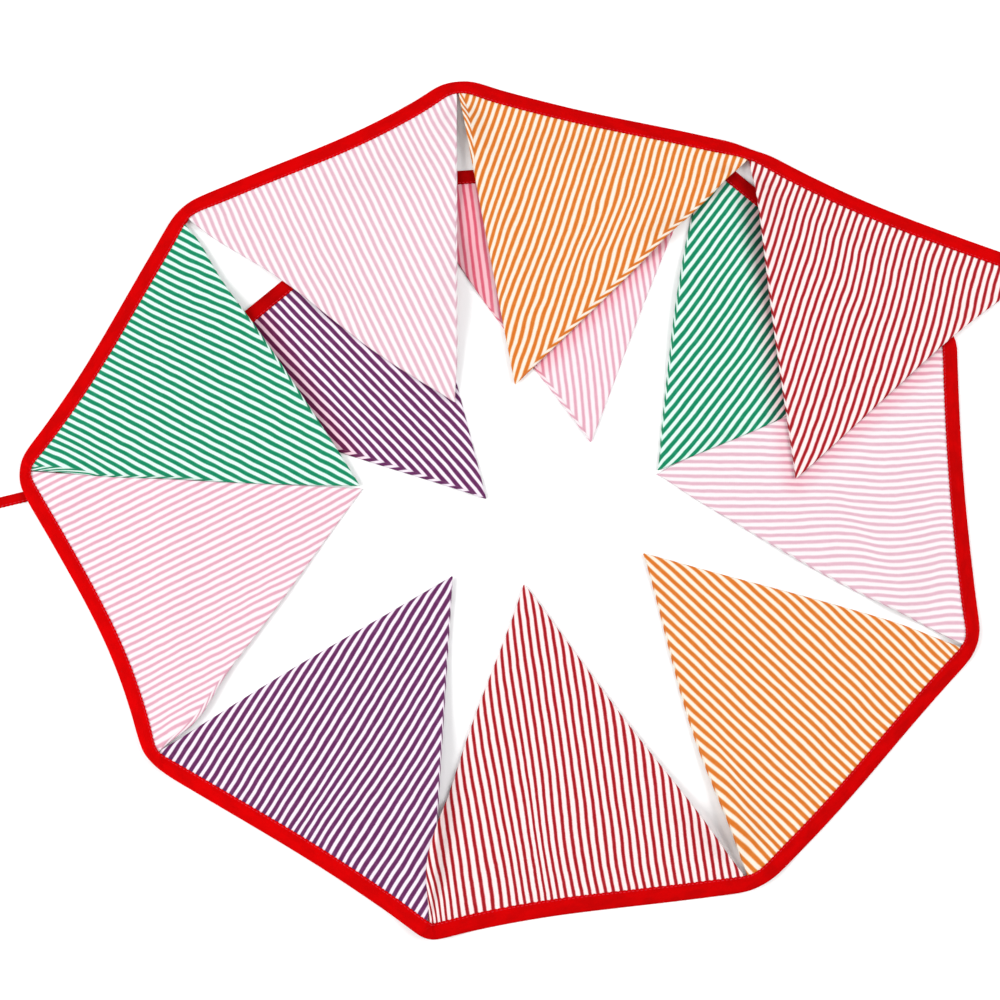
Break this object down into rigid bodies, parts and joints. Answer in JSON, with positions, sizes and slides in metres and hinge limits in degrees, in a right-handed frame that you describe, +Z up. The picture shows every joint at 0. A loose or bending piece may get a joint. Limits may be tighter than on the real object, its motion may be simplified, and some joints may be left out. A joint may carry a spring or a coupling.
{
  "type": "fabric bunting",
  "caption": "Striped cotton triangle bunting on a red folded tape with ties, lying in a loose ring on a surface, its last flags under its first.",
  "frame": {"origin": "under the middle of the whole piece, ties included, on the surface it lies on", "axes": "+Z up from the surface, +X along the longest extent from the inner tie to the outer tie, +Y towards the overlapping flags"},
  "size_m": [1.1193, 0.5479, 0.0101],
  "materials": {
    "binding_red": "bright red plain-weave cotton bias tape, folded and pressed, stitched along its inner edge",
    "cotton_red": "white plain-weave cotton with narrow woven red stripes",
    "cotton_orange": "white plain-weave cotton with narrow woven orange stripes",
    "cotton_pale_pink": "white plain-weave cotton with narrow woven pale pink stripes",
    "cotton_green": "white plain-weave cotton with narrow woven green stripes",
    "cotton_pink": "white plain-weave cotton with narrow woven pink stripes",
    "cotton_purple": "white plain-weave cotton with narrow woven purple stripes"
  },
  "bodies": {
    "root": {"binding_tape": "binding_red", "flag_01_red": "cotton_red", "flag_02_orange": "cotton_orange", "flag_03_pale_pink": "cotton_pale_pink", "flag_04_green": "cotton_green", "flag_05_pink": "cotton_pink", "flag_06_purple": "cotton_purple", "flag_07_red": "cotton_red", "flag_08_orange": "cotton_orange", "flag_09_pale_pink": "cotton_pale_pink", "flag_10_green": "cotton_green", "flag_11_pink": "cotton_pink", "flag_12_purple": "cotton_purple"}
  },
  "joints": []
}
